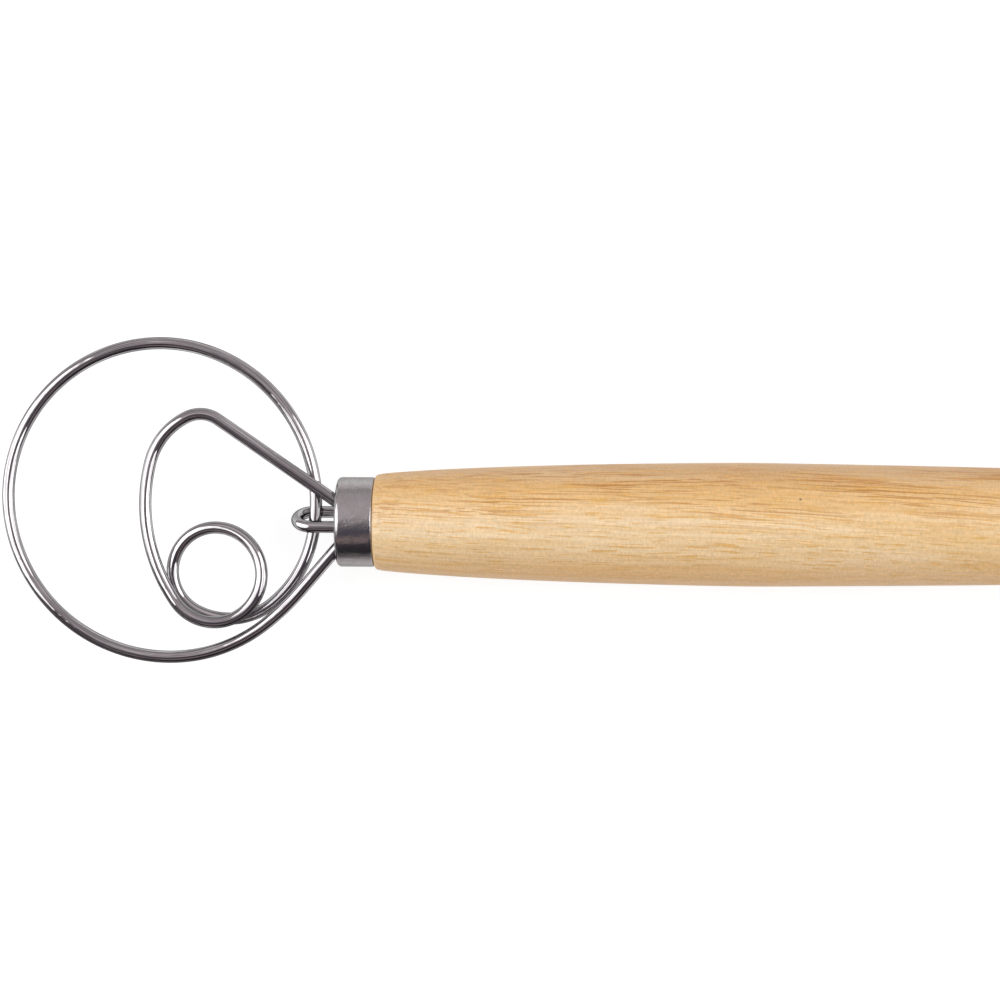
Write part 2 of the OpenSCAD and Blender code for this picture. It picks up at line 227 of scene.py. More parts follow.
# %% The bends of ring, coil and teardrop
near_ring = (Vector((-RING_REACH - NEAR_R, RING_RISE)), NEAR_R)
top_ring = carry_on(near_ring, NEAR_TO_TOP, NEAR_R - TOP_TIGHTER)
bottom_ring = carry_on(top_ring, TOP_TO_BOTTOM, NEAR_R + BOTTOM_WIDER)
low_ring = carry_on(bottom_ring, BOTTOM_TO_LOW, NEAR_R - LOW_TIGHTER)
lower_bend = (Vector((LEG_BEND_X, -LOWER_LEG_Y - LEG_BEND_R)), LEG_BEND_R)
low_to_run_in = heading_between(lower_bend, low_ring, 1) + 90 - RUN_IN_LEAD
run_in = carry_on(low_ring, low_to_run_in, RUN_IN_R)
lower_heading = heading_between(lower_bend, run_in, 1)

beside_coil = near_ring[0].x + math.sqrt(NEAR_R ** 2 - (COIL_Y + RING_RISE) ** 2)
coil_x = beside_coil - 2 * WIRE_R - COIL_AIR - COIL_OUT_R
coil_in = (Vector((coil_x, -COIL_Y)), COIL_IN_R)
lead_in = carry_on(coil_in, LEAD_IN_END, LEAD_IN_R)
ring_join = joining(near_ring, -RING_END, lead_in)
join_way = lead_in[0] - ring_join[0]
join_end = math.degrees(math.atan2(join_way.y, join_way.x))
coil_out = carry_on(coil_in, COIL_STEP, COIL_OUT_R)
drop_side = carry_on(coil_out, COIL_END, SIDE_R)
drop_brow = carry_on(drop_side, SIDE_TO_BROW, BROW_R)
drop_nose = carry_on(drop_brow, BROW_TO_NOSE, NOSE_R)
upper_bend = (Vector((LEG_BEND_X, UPPER_LEG_Y + LEG_BEND_R)), LEG_BEND_R)
upper_heading = heading_between(drop_nose, upper_bend, -1)

bends = [
    (run_in, lower_heading - 270, low_to_run_in - 360),
    (low_ring, low_to_run_in - 360, BOTTOM_TO_LOW - 360),
    (bottom_ring, BOTTOM_TO_LOW - 360, TOP_TO_BOTTOM - 360),
    (top_ring, TOP_TO_BOTTOM - 360, NEAR_TO_TOP - 360),
    (near_ring, NEAR_TO_TOP - 360, -RING_END - 360),
    (ring_join, -RING_END - 360, join_end - 360),
    (lead_in, join_end - 360, LEAD_IN_END - 720),
    (coil_in, LEAD_IN_END - 720, COIL_STEP - 720),
    (coil_out, COIL_STEP - 720, COIL_END - 1080),
    (drop_side, COIL_END - 1080, SIDE_TO_BROW - 1080),
    (drop_brow, SIDE_TO_BROW - 1080, BROW_TO_NOSE - 1080),
    (drop_nose, BROW_TO_NOSE - 1080, upper_heading + 90 - 1080),
]
print("the wire turns through", round(bends[0][1] - bends[-1][2]), "degrees in all")

# %% [markdown]
# A wire can't pass through itself. Round the ring it falls gently to a back level, and round the
# coil it climbs to a front level, so that every crossing has one stretch behind and one in
# front. An eased rise, slow at both ends, is what springy wire does by itself.

# %% Walking along the bends, point by point
STEP = 0.5


def eased_share(place, start, end):
    t = min(1.0, max(0.0, (start - place) / (start - end)))
    return t * t * (3 - 2 * t)


def height_at(place):
    fall = eased_share(place, lower_heading - 270, -360)
    climb_start = LEAD_IN_END - 720
    climb = eased_share(place, climb_start, climb_start - CLIMB_TURN)
    return LEG_Z + (BACK_Z - LEG_Z) * fall + (FRONT_Z - BACK_Z) * climb


def arc(circle, start, end, height):
    """Points round a circle from one place to another, about one step apart."""
    middle, radius = circle
    count = max(3, math.ceil(math.radians(abs(end - start)) * radius / STEP))
    places = [start + (end - start) * i / count for i in range(count + 1)]
    flat = [middle + radius * direction(a) for a in places]
    return [(p.x, p.y, height(a)) for p, a in zip(flat, places)]


route = [(LEG_DEPTH, -LOWER_LEG_Y, LEG_Z)]
route += arc(lower_bend, 90, lower_heading - 90, lambda a: LEG_Z)
for circle, start, end in bends:
    points = arc(circle, start, end, height_at)
    route += points if circle is run_in else points[1:]
route += arc(upper_bend, upper_heading - 90, -90, lambda a: FRONT_Z)
route.append((LEG_DEPTH, UPPER_LEG_Y, FRONT_Z))
whisk_wire = sweep("whisk_wire_bent", route, WIRE_R)

# %% [markdown]
# ## The hairpin
# A short piece of the same wire is bent double over the ring and driven into the handle, like a
# staple. It leans, because the ring wire rests in its bend. It is a half circle between two
# straight legs, swept like the long wire.

# %% The retaining eye
ring_cross_x = near_ring[0].x + math.sqrt(NEAR_R ** 2 - (EYE_Y - RING_RISE) ** 2)
eye_x = ring_cross_x - EYE_SLACK
lean = math.radians(90 + EYE_LEAN)
lean_y, lean_z = math.cos(lean), math.sin(lean)


def on_eye(x, aside):
    """A point of the eye, from its place along the handle and its distance from its middle."""
    return (x, EYE_Y + aside * lean_y, BACK_Z + aside * lean_z)


eye_r = EYE_SPAN / 2
half_turn = angles(180, 36)
eye_path = [on_eye(EYE_DEPTH, eye_r)]
eye_path += [on_eye(eye_x - eye_r * math.sin(t), eye_r * math.cos(t)) for t in half_turn]
eye_path.append(on_eye(EYE_DEPTH, -eye_r))
retaining_eye = sweep("retaining_eye_bent", eye_path, EYE_WIRE_R)

# %% [markdown]
# ## Turned pieces
# The handle was turned on a lathe and the ferrule drawn round a punch, so both are a profile
# spun about the handle's axis. The profile lists pairs of place along the axis and radius. Many
# narrow strips round the axis keep the outline and the reflections smooth.

# %% Spinning a profile about the handle's axis
LATHE_SIDES = 192


def turn_profile(name, profile, sides=LATHE_SIDES):
    """A solid of revolution about the X axis. Profile points on the axis become one corner."""
    corners, rings = [], []
    for x, r in profile:
        if r == 0:
            rings.append([len(corners)] * sides)
            corners.append((x, 0, 0))
            continue
        rings.append([len(corners) + k for k in range(sides)])
        for k in range(sides):
            a = math.tau * k / sides
            corners.append((x, r * math.cos(a), r * math.sin(a)))
    faces = []
    for near, far in zip(rings, rings[1:]):
        for k in range(sides):
            j = (k + 1) % sides
            loop = [near[k], near[j], far[j], far[k]]
            face = [c for n, c in enumerate(loop) if c not in loop[:n]]
            faces.append(face)
    return make_object(name, corners, faces)


# %% [markdown]
# ## Cutting holes
# Bores and the hanging hole are drilled after turning. In Blender a boolean modifier does the
# same with a cutter shape. The real hanging hole has its edge broken with sandpaper, or a cord
# would fray on it. So its cutter isn't a plain cylinder: it flares at both mouths and follows the
# round of the handle.

# %% A drill for bores, straight or with a slanted mouth, and the cut itself
def drill(path, radius, sides=48):
    """Closed tube along a path of two or three points, square to it at both ends."""
    points = [Vector(p) for p in path]
    ways = [(b - a).normalized() for a, b in zip(points, points[1:])]
    corners = []
    for i, place in enumerate(points):
        before, after = ways[max(i - 1, 0)], ways[min(i, len(ways) - 1)]
        way = (before + after).normalized()
        across = Vector((0, 0, 1)).cross(way).normalized()
        stretch = 1 / way.dot(after)
        for k in range(sides):
            a = math.tau * k / sides
            side = across * math.cos(a) * stretch + Vector((0, 0, 1)) * math.sin(a)
            corners.append(tuple(place + radius * side))
    last = (len(points) - 1) * sides
    faces = [tuple(reversed(range(sides))), tuple(last + k for k in range(sides))]
    for i in range(0, last, sides):
        faces += [(i + k, i + (k + 1) % sides, i + sides + (k + 1) % sides, i + sides + k)
                  for k in range(sides)]
    return corners, faces


def cut(piece, shapes):
    """Cuts one or more closed shapes out of a piece."""
    corners, faces = [], []
    for shape_corners, shape_faces in shapes:
        first = len(corners)
        corners += shape_corners
        faces += [tuple(first + c for c in face) for face in shape_faces]
    cutter = make_object(piece.name + "_cutter", corners, faces)
    boolean = piece.modifiers.new("holes", "BOOLEAN")
    boolean.operation = "DIFFERENCE"
    boolean.solver = "EXACT"
    boolean.object = cutter
    now = bpy.context.evaluated_depsgraph_get()
    result = bpy.data.meshes.new_from_object(piece.evaluated_get(now))
    piece.modifiers.clear()
    piece.data = result
    bpy.data.objects.remove(cutter)
    print(piece.name, "has", len(result.polygons), "faces after cutting")


# %% [markdown]
# ## The ferrule
# The ferrule is a short cap of sheet steel. Its front edge is rounded by the punch, and its open
# back edge is bevelled. Both are under two millimetres wide, but they catch the light as thin
# bright lines, so they are modelled and not left to the material.

# %% Profile and holes of the ferrule
ferrule_r = FERRULE_D / 2
ferrule_profile = [(0, 0)]
ferrule_profile += [
    (FERRULE_ROUND * (1 - math.cos(t)), ferrule_r - FERRULE_ROUND * (1 - math.sin(t)))
    for t in angles(90, 16)
]
REAR_LONG, REAR_DEEP = 0.7, 0.35
ferrule_profile += [
    (FERRULE_LEN - REAR_LONG * (1 - math.sin(t)), ferrule_r - REAR_DEEP * (1 - math.cos(t)))
    for t in angles(90, 12)
]
ferrule_profile += [
    (FERRULE_LEN, ferrule_r - FERRULE_WALL),
    (FERRULE_WALL, ferrule_r - FERRULE_WALL),
    (FERRULE_WALL, 0),
]
ferrule = turn_profile("ferrule_drawn", ferrule_profile)


def leg_path(y, z, lean):
    """Middle of a leg's bore, from in front of the ferrule through the corner to its end."""
    corner_x = LEG_BEND_X - LEG_BEND_R * math.tan(math.radians(abs(lean)) / 2)
    way = direction(lean)
    outer = (corner_x - SLANT_REACH * way.x, y - SLANT_REACH * way.y, z)
    return [outer, (corner_x, y, z), (LEG_DEPTH + BORE_SPARE, y, z)]


wire_bores = [
    leg_path(UPPER_LEG_Y, FRONT_Z, upper_heading),
    leg_path(-LOWER_LEG_Y, LEG_Z, lower_heading - 180),
]
eye_bores = []
for side in (eye_r, -eye_r):
    eye_bores.append([on_eye(-BORE_LEAD, side), on_eye(EYE_DEPTH + BORE_SPARE, side)])


def punched(path):
    """The same line carried straight on past its corner, for a hole through thin sheet."""
    outer, corner = Vector(path[0]), Vector(path[1])
    return [outer, corner + (corner - outer).normalized() * PUNCH_REACH]


holes = [drill(punched(path), WIRE_R + HOLE_GAP) for path in wire_bores]
holes += [drill(path, EYE_WIRE_R + HOLE_GAP) for path in eye_bores]
cut(ferrule, holes)
smooth_but_sharp(ferrule, CUT_SHARP)

# %% [markdown]
# ## The handle
# The outline swells from the shoulder to the belly and tapers to a rounded butt. A turner draws
# it as one easy line, and a cubic curve with long pulls gives the same. The tenon at the front
# is hidden inside the ferrule, with the bores for the four wire legs.

# %% Outline of the handle
SWELL_STEPS, TAPER_STEPS = 72, 120


def cubic(p, t):
    s = 1 - t
    weights = (s ** 3, 3 * s * s * t, 3 * s * t * t, t ** 3)
    return tuple(sum(w * q[n] for w, q in zip(weights, p)) for n in (0, 1))


tenon_r = ferrule_r - FERRULE_WALL - SEAT_GAP
tenon_x = FERRULE_WALL + SEAT_GAP
shoulder_r, belly_r, butt_r = SHOULDER_D / 2, BELLY_D / 2, BUTT_D / 2
belly_at = SHOULDER_X + BELLY_X
taper_end = BUTT_X - BUTT_ROUND
swell = [
    (SHOULDER_X, shoulder_r),
    (SHOULDER_X + NECK_PULL, shoulder_r + NECK_SLOPE * NECK_PULL),
    (belly_at - BELLY_PULL_FRONT, belly_r),
    (belly_at, belly_r),
]
taper = [
    (belly_at, belly_r),
    (belly_at + BELLY_PULL_BACK, belly_r),
    (taper_end - BUTT_PULL, butt_r + BUTT_SLOPE * BUTT_PULL),
    (taper_end, butt_r),
]
outline = [(tenon_x, 0), (tenon_x, tenon_r), (SHOULDER_X, tenon_r)]
for t in angles(90, 12):
    x = SHOULDER_X + SHOULDER_ROUND * (1 - math.cos(t))
    outline.append((x, shoulder_r - SHOULDER_ROUND * (1 - math.sin(t))))
swelling = [cubic(swell, i / SWELL_STEPS) for i in range(1, SWELL_STEPS + 1)]
rounded_to = outline[-1][0]
outline += [p for p in swelling if p[0] > rounded_to]
outline += [cubic(taper, i / TAPER_STEPS) for i in range(1, TAPER_STEPS + 1)]
for t in angles(90, 24)[1:-1]:
    outline.append((taper_end + BUTT_ROUND * math.sin(t), butt_r * math.cos(t)))
outline.append((BUTT_X, 0))
handle = turn_profile("handle_turned", outline)
print("handle outline has", len(outline), "points")

# %% The eased hanging hole
HOLE_EASE, PAST_SURFACE = 0.7, 1.0


def handle_radius(x):
    """Radius of the handle at a place along it, between the points of the outline."""
    for (x0, r0), (x1, r1) in zip(outline, outline[1:]):
        if x0 <= x <= x1 and x1 > x0:
            return r0 + (r1 - r0) * (x - x0) / (x1 - x0)
    return 0.0


def eased_hole(sides=96, steps=8):
    """A drill across the handle that flares into its rounded surface at both ends."""
    half, levels = HANG_D / 2, []
    for t in angles(90, steps):
        levels.append((half + HOLE_EASE * (1 - math.cos(t)), HOLE_EASE * (1 - math.sin(t))))
    levels.append((half + HOLE_EASE, -PAST_SURFACE))
    corners = []
    for side in (-1, 1):
        ordered = reversed(levels) if side < 0 else levels
        for reach, below in ordered:
            for k in range(sides):
                a = math.tau * k / sides
                x, y = HANG_X + reach * math.cos(a), reach * math.sin(a)
                surface = math.sqrt(handle_radius(x) ** 2 - y * y)
                corners.append((x, y, side * (surface - below)))
    rings = len(corners) // sides
    faces = [tuple(reversed(range(sides)))]
    for i in range(rings - 1):
        for k in range(sides):
            j = (k + 1) % sides
            faces.append((i * sides + k, i * sides + j, (i + 1) * sides + j, (i + 1) * sides + k))
    faces.append(tuple((rings - 1) * sides + k for k in range(sides)))
    return corners, faces


bores = [drill(path, WIRE_R + BORE_GAP) for path in wire_bores]
bores += [drill(path, EYE_WIRE_R + BORE_GAP) for path in eye_bores]
cut(handle, bores + [eased_hole()])
smooth_but_sharp(handle, CUT_SHARP)

# %% [markdown]
# ## Helpers for materials
# A material in Blender is a small network of nodes. The class below adds a node and joins its
# sockets in one line, so that each finish further down reads as a list of what happens to the
# surface. Sizes inside a finish are in metres, because the coordinates are the object's own.

# %% Building a material from nodes
class Finish:
    """One material. Each call to add() makes a node and returns it."""

    def __init__(self, name):
        self.material = bpy.data.materials.new(name)
        self.material.use_nodes = True
        self.tree = self.material.node_tree
        self.shader = self.tree.nodes["Principled BSDF"]

    def join(self, value, socket):
        if isinstance(value, bpy.types.NodeSocket):
            self.tree.links.new(value, socket)
        else:
            socket.default_value = value

    def add(self, kind, inputs=None, **settings):
        node = self.tree.nodes.new(kind)
        for key, value in settings.items():
            setattr(node, key, value)
        for key, value in (inputs or {}).items():
            self.join(value, node.inputs[key])
        return node

    def set(self, **values):
        for key, value in values.items():
            self.join(value, self.shader.inputs[key.replace("_", " ").title()])

    def math(self, operation, a, b=0.0, c=0.0):
        node = self.add("ShaderNodeMath", {0: a, 1: b, 2: c}, operation=operation)
        return node.outputs[0]

    def vector(self, operation, a, b):
        node = self.add("ShaderNodeVectorMath", {0: a, 1: b}, operation=operation)
        return node.outputs[0]

    def noise(self, where, scale, detail=2.0, roughness=0.5, distortion=0.0):
        sizes = {"Vector": where, "Scale": scale, "Detail": detail}
        sizes.update({"Roughness": roughness, "Distortion": distortion})
        return self.add("ShaderNodeTexNoise", sizes)

    def ramp(self, value, low, high, start=0.0, end=1.0):
        """Maps a range of a value to another, and stops at both ends."""
        sizes = {"Value": value, "From Min": low, "From Max": high, "To Min": start, "To Max": end}
        return self.add("ShaderNodeMapRange", sizes).outputs[0]

    def blend(self, share, first, second):
        """Mixes two colours by a share of the second."""
        node = self.add("ShaderNodeMix", data_type="RGBA")
        self.join(share, node.inputs["Factor"])
        self.join(first, node.inputs[6])
        self.join(second, node.inputs[7])
        return node.outputs[2]

    def bump(self, height, depth, strength=1.0, below=None):
        inputs = {"Height": height, "Distance": depth, "Strength": strength}
        if below:
            inputs["Normal"] = below
        return self.add("ShaderNodeBump", inputs).outputs[0]


# %% [markdown]
# ## Pale hardwood
# The handle is a pale, fine hardwood, sanded and left without varnish. Looked at closely it has
# soft growth bands that drift along the handle, thin darker streaks where vessels are cut, short
# pores, a few small dark specks and a slight mottling. Towards the +Y side the colour turns honey
# and more streaky, and darker brown along that edge; towards the -Y side it turns a little
# pinker. A photograph could be wrapped round it, but a solid texture is better: it runs through
# the wood, so the hole and the butt show the same grain without a seam.

# %% The wood finish
PALE_WOOD = (0.780, 0.585, 0.360, 1)
TAN_WOOD = (0.700, 0.445, 0.180, 1)
HONEY_WOOD = (0.660, 0.384, 0.136, 1)
STREAK_WOOD = (0.455, 0.190, 0.022, 1)
PORE_WOOD = (0.650, 0.340, 0.062, 1)
PINK_WOOD = (0.693, 0.360, 0.112, 1)
SPECK_WOOD = (0.120, 0.060, 0.025, 1)
DEEP_WOOD = (0.420, 0.240, 0.120, 1)

wood = Finish("pale_hardwood")
here = wood.add("ShaderNodeTexCoord").outputs["Object"]
drift = wood.noise(wood.vector("MULTIPLY", here, (1, 2.2, 2.2)), 13, 2.0, 0.5).outputs["Color"]
drift = wood.vector("SUBTRACT", drift, (0.5, 0.5, 0.5))
drift = wood.vector("MULTIPLY", drift, (0, 0.004, 0.004))
sloped = wood.add("ShaderNodeMapping", {"Vector": here, "Rotation": (0, 0.02, 0.045)}).outputs[0]
grain = wood.vector("ADD", sloped, drift)


def along_grain(finish, lengthwise, across, detail, roughness=0.5, distortion=0.0):
    """Noise stretched along the handle. Both sizes are repeats in a metre."""
    way = finish.vector("MULTIPLY", grain, (lengthwise, across, across))
    return finish.noise(way, 1.0, detail, roughness, distortion).outputs["Fac"]


slow = along_grain(wood, 14, 170, 3.0, 0.6)
bands = along_grain(wood, 9, 620, 2.0, 0.5)
broad_share = wood.ramp(slow, 0.38, 0.62, 0, 0.5)
band_share = wood.math("MULTIPLY_ADD", wood.ramp(bands, 0.40, 0.60), 0.42, broad_share)
body = wood.blend(band_share, PALE_WOOD, TAN_WOOD)
sideways = wood.add("ShaderNodeSeparateXYZ", {0: here}).outputs["Y"]
honey_side = wood.ramp(sideways, 0.001, 0.009)
honey = wood.math("MULTIPLY", honey_side, wood.ramp(slow, 0.30, 0.60, 0.60, 1.0))
body = wood.blend(honey, body, HONEY_WOOD)
body = wood.blend(wood.ramp(sideways, -0.005, -0.013, 0, 0.6), body, PINK_WOOD)
# DEEP_WOOD makes the wood darker brown along the edge on the +Y side.
body = wood.blend(wood.ramp(sideways, 0.0075, 0.0125, 0, 0.42), body, DEEP_WOOD)
print("the tones of the wood take", len(wood.tree.nodes), "nodes")

# %% Streaks, pores, specks and mottling of the wood
streaky_side = wood.ramp(sideways, -0.002, 0.005, 0.20, 1.0)
streaks = wood.ramp(along_grain(wood, 26, 1500, 2.0, 0.6, 0.2), 0.565, 0.600)
fine_streaks = wood.ramp(along_grain(wood, 48, 2700, 1.0), 0.575, 0.615)
streaks = wood.math("MAXIMUM", streaks, wood.math("MULTIPLY", fine_streaks, 0.8))
streaks = wood.math("MULTIPLY", streaks, streaky_side)
patchy = wood.ramp(along_grain(wood, 30, 190, 1.0), 0.40, 0.60, 0.2, 1.0)
streaks = wood.math("MULTIPLY", streaks, patchy)
body = wood.blend(wood.math("MULTIPLY", streaks, 0.95), body, STREAK_WOOD)

pores = wood.ramp(along_grain(wood, 130, 2500, 1.0), 0.60, 0.65)
body = wood.blend(wood.math("MULTIPLY", pores, 0.75), body, PORE_WOOD)
speck_way = wood.vector("MULTIPLY", here, (1, 1, 0))
specks = wood.add("ShaderNodeTexVoronoi", {"Vector": speck_way, "Scale": 42}).outputs["Distance"]
body = wood.blend(wood.ramp(specks, 0.008, 0.016, 0.8, 0), body, SPECK_WOOD)

fibres = along_grain(wood, 26, 2600, 2.0)
mottle = wood.noise(here, 1100, 2.0, 0.6).outputs["Fac"]
fleck_way = wood.vector("MULTIPLY", here, (2500, 1150, 1150))
flecks = wood.noise(fleck_way, 1.0, 2.0, 0.5).outputs["Fac"]
shade = wood.math("MULTIPLY_ADD", wood.ramp(fibres, 0.32, 0.68), 0.10, 0.835)
shade = wood.math("MULTIPLY_ADD", wood.ramp(mottle, 0.32, 0.68), 0.10, shade)
shade = wood.math("MULTIPLY_ADD", wood.ramp(flecks, 0.32, 0.68), 0.15, shade)
lit = wood.vector("SCALE", body, (0, 0, 0))
wood.join(shade, lit.node.inputs["Scale"])

worn = wood.math("MULTIPLY_ADD", streaks, 0.10, wood.ramp(mottle, 0.3, 0.7, 0.42, 0.54))
relief = wood.math("ADD", streaks, wood.math("MULTIPLY", pores, 0.8))
dents = wood.bump(relief, -0.00004, 0.4)
ripples = wood.bump(flecks, 0.00003, 0.45, dents)
wood.set(base_color=lit, roughness=worn, normal=wood.bump(fibres, 0.00002, 0.3, ripples))
wood.join(0.9, wood.shader.inputs["Specular IOR Level"])
print("the whole wood takes", len(wood.tree.nodes), "nodes")

# %% [markdown]
# ## Polished wire
# The wires are stainless steel, drawn and then polished, so they mirror the studio. Drawing
# leaves fine and broad darker lines along the wire, bending leaves it slightly uneven, and
# polishing leaves small dull places and nicks. The tube carries its own coordinates, along and
# around the wire, and the lines follow them round every bend.

# %% The wire finish
BRIGHT_STEEL = (0.565, 0.558, 0.563, 1)
DULL_STEEL = (0.490, 0.482, 0.487, 1)
LINE_STEEL = (0.170, 0.162, 0.172, 1)

wire_steel = Finish("polished_wire_steel")
along = wire_steel.add("ShaderNodeUVMap", uv_map="along_and_around").outputs[0]
draw_way = wire_steel.vector("MULTIPLY", along, (50, 34, 1))
draw_lines = wire_steel.noise(draw_way, 1.0, 3.0, 0.6).outputs["Fac"]
wire_here = wire_steel.add("ShaderNodeTexCoord").outputs["Object"]
dull = wire_steel.noise(wire_here, 260, 3.0, 0.6).outputs["Fac"]
nick_way = wire_steel.vector("MULTIPLY", along, (330, 14, 1))
nicks = wire_steel.noise(nick_way, 1.0, 1.0).outputs["Fac"]
dull_rough = wire_steel.ramp(dull, 0.4, 0.75, 0.02, 0.07)
lines_rough = wire_steel.ramp(draw_lines, 0.35, 0.7)
wire_rough = wire_steel.math("MULTIPLY_ADD", lines_rough, 0.04, dull_rough)
wire_tone = wire_steel.blend(wire_steel.ramp(dull, 0.4, 0.75), BRIGHT_STEEL, DULL_STEEL)
broad_way = wire_steel.vector("MULTIPLY", along, (32, 13, 1))
broad_lines = wire_steel.noise(broad_way, 1.0, 2.0, 0.6).outputs["Fac"]
fine_dark = wire_steel.ramp(draw_lines, 0.48, 0.57, 0, 0.8)
broad_dark = wire_steel.ramp(broad_lines, 0.51, 0.59, 0, 0.7)
dark_lines = wire_steel.math("MAXIMUM", fine_dark, broad_dark)
wire_tone = wire_steel.blend(dark_lines, wire_tone, LINE_STEEL)

# %% Relief of the wire
uneven = wire_steel.noise(wire_here, 150, 2.0, 0.5).outputs["Fac"]
wavy = wire_steel.bump(uneven, 0.0003, 0.36)
drawn = wire_steel.bump(draw_lines, 0.00002, 0.6, wavy)
nicked = wire_steel.bump(wire_steel.ramp(nicks, 0.66, 0.72), -0.00003, 0.15, drawn)
wire_steel.set(base_color=wire_tone, metallic=1.0, roughness=wire_rough, normal=nicked)
wire_steel.set(specular_tint=(0.20, 0.195, 0.20, 1))
print("the wire finish takes", len(wire_steel.tree.nodes), "nodes")

# %% [markdown]
# ## Satin ferrule
# The ferrule was brushed round and round while it turned, which blurs what it mirrors along the
# handle but keeps the light and dark bands across it. Fine lines round the axis, a fine
# speckle, shallow dents and a few longer scratches where it has been handled make that look.

# %% The ferrule finish
BRIGHT_CAP = (0.47, 0.46, 0.465, 1)
STAINED_CAP = (0.39, 0.377, 0.38, 1)
LINE_CAP = (0.28, 0.265, 0.265, 1)
SCRATCH_CAP = (0.62, 0.61, 0.6, 1)

ferrule_steel = Finish("satin_ferrule_steel")
cap_here = ferrule_steel.add("ShaderNodeTexCoord").outputs["Object"]
round_way = ferrule_steel.vector("MULTIPLY", cap_here, (5200, 130, 130))
brushing = ferrule_steel.noise(round_way, 1.0, 3.0, 0.65).outputs["Fac"]
tilted = ferrule_steel.add("ShaderNodeMapping", {"Vector": cap_here, "Rotation": (0.2, 0.1, 0.45)})
scratch_way = ferrule_steel.vector("MULTIPLY", tilted.outputs[0], (3600, 150, 300))
scratches = ferrule_steel.noise(scratch_way, 1.0, 1.0).outputs["Fac"]
scratches = ferrule_steel.ramp(scratches, 0.64, 0.70)
stain = ferrule_steel.noise(cap_here, 330, 4.0, 0.65).outputs["Fac"]
cap_tone = ferrule_steel.blend(ferrule_steel.ramp(stain, 0.35, 0.7), BRIGHT_CAP, STAINED_CAP)
speckle = ferrule_steel.noise(cap_here, 3300, 2.0, 0.6).outputs["Fac"]
speckled = ferrule_steel.ramp(speckle, 0.35, 0.65)
brushed_dark = ferrule_steel.ramp(brushing, 0.35, 0.65, 0, 0.15)
lined = ferrule_steel.math("MULTIPLY_ADD", speckled, 0.25, brushed_dark)
cap_tone = ferrule_steel.blend(lined, cap_tone, LINE_CAP)
scratched_share = ferrule_steel.math("MULTIPLY", scratches, 0.16)
cap_tone = ferrule_steel.blend(scratched_share, cap_tone, SCRATCH_CAP)
stain_rough = ferrule_steel.ramp(stain, 0.3, 0.7, 0.12, 0.2)
brushed_rough = ferrule_steel.ramp(brushing, 0.3, 0.7)
cap_rough = ferrule_steel.math("MULTIPLY_ADD", brushed_rough, 0.08, stain_rough)

# %% Relief of the ferrule
dent_way = ferrule_steel.vector("MULTIPLY", cap_here, (420, 560, 560))
dents_in_cap = ferrule_steel.noise(dent_way, 1.0, 3.0, 0.6).outputs["Fac"]
dented = ferrule_steel.bump(dents_in_cap, 0.00012, 0.7)
brushed = ferrule_steel.bump(brushing, 0.00002, 0.4, dented)
scratched = ferrule_steel.bump(scratches, -0.00002, 0.2, brushed)
ferrule_steel.set(base_color=cap_tone, metallic=1.0, roughness=cap_rough, normal=scratched)
ferrule_steel.set(specular_tint=(0.55, 0.54, 0.54, 1))
print("the ferrule finish takes", len(ferrule_steel.tree.nodes), "nodes")

# %% Dressing the pieces, hanging them under one root empty and hiding the imported parts
dressed = [
    (handle, wood, "handle", "handle_wood"),
    (ferrule, ferrule_steel, "ferrule", "ferrule_steel"),
    (whisk_wire, wire_steel, "whisk_wire", "wire_steel"),
    (retaining_eye, wire_steel, "retaining_eye", "wire_steel"),
]
for piece, finish, node, slot in dressed:
    piece.data.materials.clear()
    piece.data.materials.append(finish.material)
    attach(piece, "root")
    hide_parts(node)
    print(piece.name, "stands for", node)

# %% [markdown]
# ## The set
# Product photographs of bright metal are made with large soft lights and dark cards. Metal shows
# nothing but what stands round it: a wire between white walls only would vanish against a white
# background. Two big soft lights stand to the left and right, and the floor is white. An arch
# of dim cloth spans the set from behind, over the top and down in front. It is pale behind and
# dark in front, with one paler stripe, because round metal shows each of its tones as a band.
# Wood and paper get one even grey from it instead, so that their light stays plain. The floor
# glows a little more far away, so that its end doesn't show against the white behind it.

# %% White floor
FLOOR_Z = -BELLY_D / 2 * MM
FLOOR_REACH = 1.6
SET_MIDDLE = -0.17
PAPER_DARK, PAPER_PALE = (0.80, 0.80, 0.80, 1), (0.83, 0.83, 0.83, 1)
PAPER_SEEN = (0.30, 0.30, 0.30, 1)
GLOW_NEAR, GLOW_FAR, GLOW_RISES, GLOW_RISEN = 0.78, 1.0, 0.45, 1.3


def flat_panel(name, corners):
    mesh = bpy.data.meshes.new(name)
    mesh.from_pydata(corners, [], [(0, 1, 2, 3)])
    made = bpy.data.objects.new(name, mesh)
    bpy.context.scene.collection.objects.link(made)
    return made


floor_left, floor_right = SET_MIDDLE - FLOOR_REACH, SET_MIDDLE + FLOOR_REACH
floor = flat_panel("floor", [
    (floor_left, -FLOOR_REACH, FLOOR_Z), (floor_right, -FLOOR_REACH, FLOOR_Z),
    (floor_right, FLOOR_REACH, FLOOR_Z), (floor_left, FLOOR_REACH, FLOOR_Z),
])
paper = Finish("white_paper")
paper.tree.nodes.remove(paper.shader)
output = paper.tree.nodes["Material Output"]
paper_here = paper.add("ShaderNodeTexCoord").outputs["Object"]
fibre = paper.noise(paper_here, 900, 2.0).outputs["Fac"]
paper_tone = paper.blend(fibre, PAPER_DARK, PAPER_PALE)
plain = paper.add("ShaderNodeBsdfDiffuse", {"Color": paper_tone})
soft = paper.add("ShaderNodeBsdfDiffuse", {"Color": PAPER_SEEN})
middle = (SET_MIDDLE, 0, FLOOR_Z)
apart = paper.add("ShaderNodeVectorMath", {0: paper_here, 1: middle}, operation="DISTANCE")
glow_level = paper.ramp(apart.outputs["Value"], GLOW_RISES, GLOW_RISEN, GLOW_NEAR, GLOW_FAR)
